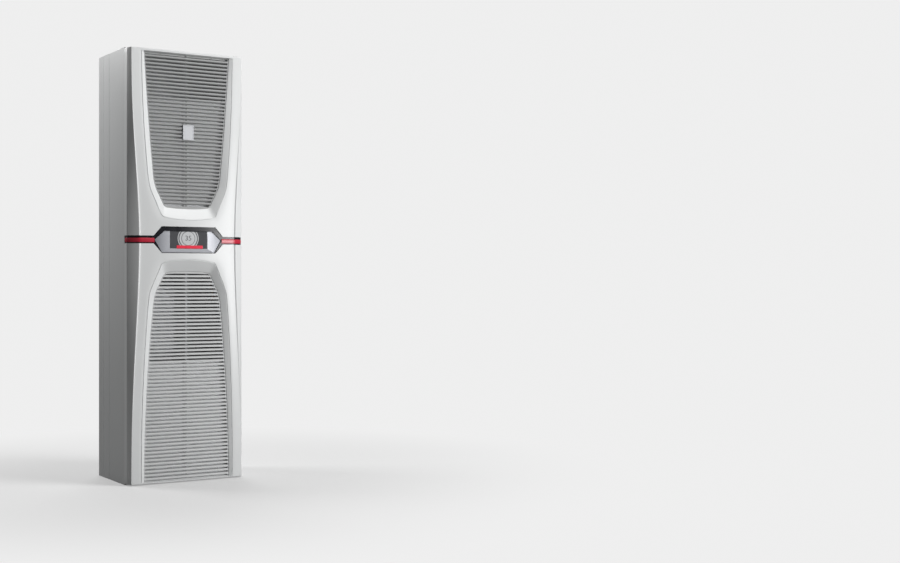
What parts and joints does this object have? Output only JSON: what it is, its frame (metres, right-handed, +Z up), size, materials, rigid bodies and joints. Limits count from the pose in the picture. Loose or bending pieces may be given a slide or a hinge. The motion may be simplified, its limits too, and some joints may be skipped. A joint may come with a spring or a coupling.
{
  "type": "enclosure air conditioner",
  "caption": "Tall wall-mounted cooling unit for a control cabinet: hourglass front cover, louvred grilles, hexagonal display band with red strips, coils, fans and compressor inside.",
  "frame": {"origin": "centre of the base, on the surface that the unit stands on", "axes": "+Z up, front facing -Y, +X to the right of a person facing the front"},
  "size_m": [0.45, 0.3618, 1.6],
  "materials": {
    "painted_sheet": "light grey textured powder coat on sheet steel",
    "cover_plastic": "light grey fine-grained moulding",
    "louvre_plastic": "light grey fine-grained moulding",
    "band_black": "deep black gloss moulding",
    "strip_red": "satin red moulding",
    "display_silver": "satin silver lacquer on a moulding",
    "badge_grey": "plain brushed plate",
    "display_glass": "dark cover glass with a plain gauge behind it",
    "dark_plastic": "dark grey moulding",
    "board_green": "solder mask on glass fibre board",
    "galvanised_sheet": "galvanised sheet steel",
    "fin_aluminium": "bare aluminium",
    "zinc_steel": "zinc plated steel",
    "motor_black": "black lacquer on steel",
    "machined_steel": "machined and laminated steel",
    "pipe_copper": "drawn copper tube",
    "valve_brass": "turned brass",
    "seal_rubber": "black cellular rubber"
  },
  "bodies": {
    "housing": {"blower_motors": "motor_black", "centre_band": "band_black", "compressor_cap": "motor_black", "compressor_grommets": "seal_rubber", "compressor_pump": "machined_steel", "compressor_shell": "motor_black", "compressor_stator": "machined_steel", "condensate_tray": "dark_plastic", "condenser_core": "fin_aluminium", "condenser_end_plates": "galvanised_sheet", "condenser_motors": "motor_black", "control_board": "board_green", "control_case": "galvanised_sheet", "control_lid": "galvanised_sheet", "discharge_pipe": "pipe_copper", "display_board": "board_green", "display_frame": "display_silver", "display_glass": "display_glass", "display_housing": "dark_plastic", "drain_pipe": "dark_plastic", "drier_clip": "galvanised_sheet", "earth_stud": "zinc_steel", "evaporator_baffle": "galvanised_sheet", "evaporator_core": "fin_aluminium", "evaporator_end_plates": "galvanised_sheet", "expansion_valve": "valve_brass", "fan_brackets": "galvanised_sheet", "fan_shroud": "galvanised_sheet", "filter_drier": "pipe_copper", "front_shell": "painted_sheet", "housing_screws": "zinc_steel", "inlet_rings": "dark_plastic", "intake_guards": "zinc_steel", "inverter_board": "board_green", "inverter_case": "fin_aluminium", "inverter_heatsink": "fin_aluminium", "inverter_lid": "fin_aluminium", "lifting_inserts": "zinc_steel", "light_strips": "strip_red", "liquid_pipes": "pipe_copper", "lower_cover": "cover_plastic", "mains_socket": "dark_plastic", "mounting_inserts": "zinc_steel", "outlet_grille": "louvre_plastic", "partition_plate": "galvanised_sheet", "pipe_seals": "seal_rubber", "rear_gasket": "seal_rubber", "rear_plate": "painted_sheet", "rear_shell": "painted_sheet", "signal_sockets": "dark_plastic", "suction_pipe": "pipe_copper", "upper_cover": "cover_plastic"},
    "upper_grille": {"upper_grille": "louvre_plastic", "badge_plate": "badge_grey"},
    "lower_grille": {"lower_grille": "louvre_plastic"},
    "condenser_fan_lower": {"condenser_fan_lower": "dark_plastic"},
    "condenser_fan_upper": {"condenser_fan_upper": "dark_plastic"},
    "blower_left": {"blower_wheel_left": "dark_plastic"},
    "blower_right": {"blower_wheel_right": "dark_plastic"},
    "compressor_rotor": {"compressor_rotor": "machined_steel"}
  },
  "joints": [
    {"name": "upper_grille_pull", "type": "slide", "parent": "housing", "child": "upper_grille", "axis": [0, -1, 0], "range_m": [0, 0.06]},
    {"name": "lower_grille_pull", "type": "slide", "parent": "housing", "child": "lower_grille", "axis": [0, -1, 0], "range_m": [0, 0.06]},
    {"name": "condenser_fan_lower_spin", "type": "hinge", "parent": "housing", "child": "condenser_fan_lower", "pos_m": [0, -0.08, 1.115], "axis": [0, 1, 0], "continuous": true},
    {"name": "condenser_fan_upper_spin", "type": "hinge", "parent": "housing", "child": "condenser_fan_upper", "pos_m": [0, -0.08, 1.322], "axis": [0, 1, 0], "continuous": true},
    {"name": "blower_left_spin", "type": "hinge", "parent": "housing", "child": "blower_left", "pos_m": [-0.105, 0.125, 1.41], "axis": [0, 1, 0], "continuous": true},
    {"name": "blower_right_spin", "type": "hinge", "parent": "housing", "child": "blower_right", "pos_m": [0.105, 0.125, 1.41], "axis": [0, 1, 0], "continuous": true},
    {"name": "compressor_rotor_spin", "type": "hinge", "parent": "housing", "child": "compressor_rotor", "pos_m": [0.04, -0.022, 0.19], "axis": [0, 0, 1], "continuous": true}
  ]
}
